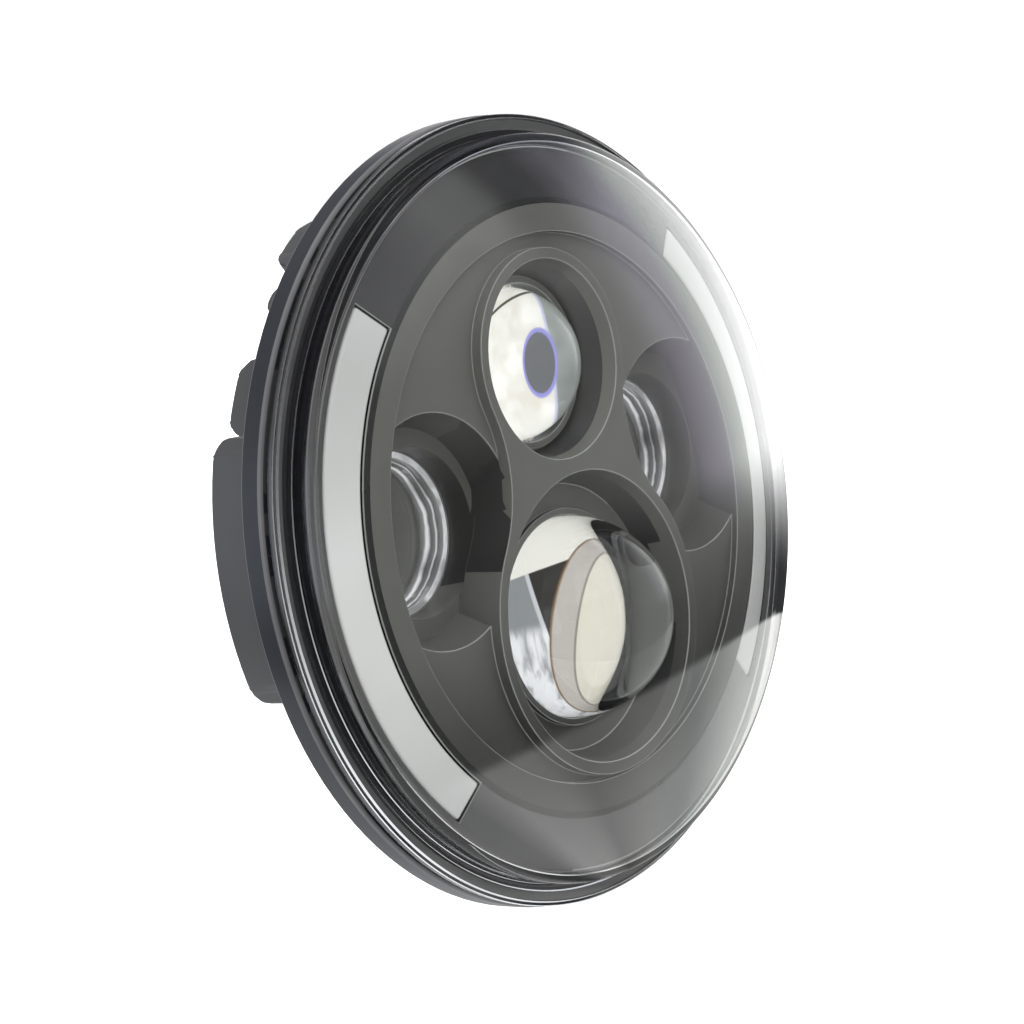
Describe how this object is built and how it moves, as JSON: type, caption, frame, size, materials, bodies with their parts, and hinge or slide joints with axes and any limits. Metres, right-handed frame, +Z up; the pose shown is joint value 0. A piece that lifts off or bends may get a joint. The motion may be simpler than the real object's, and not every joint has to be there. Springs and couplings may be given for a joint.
{
  "type": "led headlight",
  "caption": "Round domed motorbike headlight: finned cast housing, clear front lens, bezel with projector bowls, side lenses and curved light strips.",
  "frame": {"origin": "centre of the mounting rim's rear face", "axes": "the lamp shines along -Y; +Z is up, as fitted; +X is on the right of someone who looks at its front"},
  "size_m": [0.178, 0.0977, 0.178],
  "materials": {
    "casting": "satin charcoal paint on a casting",
    "clear_lens": "clear polycarbonate",
    "optic": "clear polished",
    "bezel": "satin grey",
    "diffuser": "milky white",
    "rubber": "black",
    "circuit_board": "green solder mask",
    "light_board": "white solder mask on aluminium",
    "emitter": "yellow phosphor",
    "fastener": "zinc",
    "holder": "black",
    "reflector": "vapour plated",
    "component": "dark"
  },
  "bodies": {
    "root": {"housing": "casting", "lens_seal": "rubber", "front_lens": "clear_lens", "bezel": "bezel", "light_guide_left": "diffuser", "light_guide_right": "diffuser", "drl_board_left": "circuit_board", "drl_board_right": "circuit_board", "drl_leds": "emitter", "drl_screws": "fastener", "low_lens": "optic", "high_lens": "optic", "side_lens_left": "optic", "side_lens_right": "optic", "low_holder": "holder", "high_holder": "holder", "side_holder_left": "holder", "side_holder_right": "holder", "low_reflector": "reflector", "high_reflector": "reflector", "cutoff_shield": "holder", "low_led_board": "light_board", "high_led_board": "light_board", "side_led_board_left": "light_board", "side_led_board_right": "light_board", "led_emitters": "emitter", "holder_screws": "fastener", "bezel_screws": "fastener", "driver_board": "circuit_board", "driver_choke": "component", "driver_capacitors": "component", "driver_screws": "fastener", "wire_grommet": "rubber", "rear_cover": "casting", "cover_gasket": "rubber", "cover_screws": "fastener", "gland_body": "holder", "gland_nut": "holder", "gland_seal": "rubber", "gland_locknut": "holder", "breather_vent": "holder"}
  },
  "joints": []
}
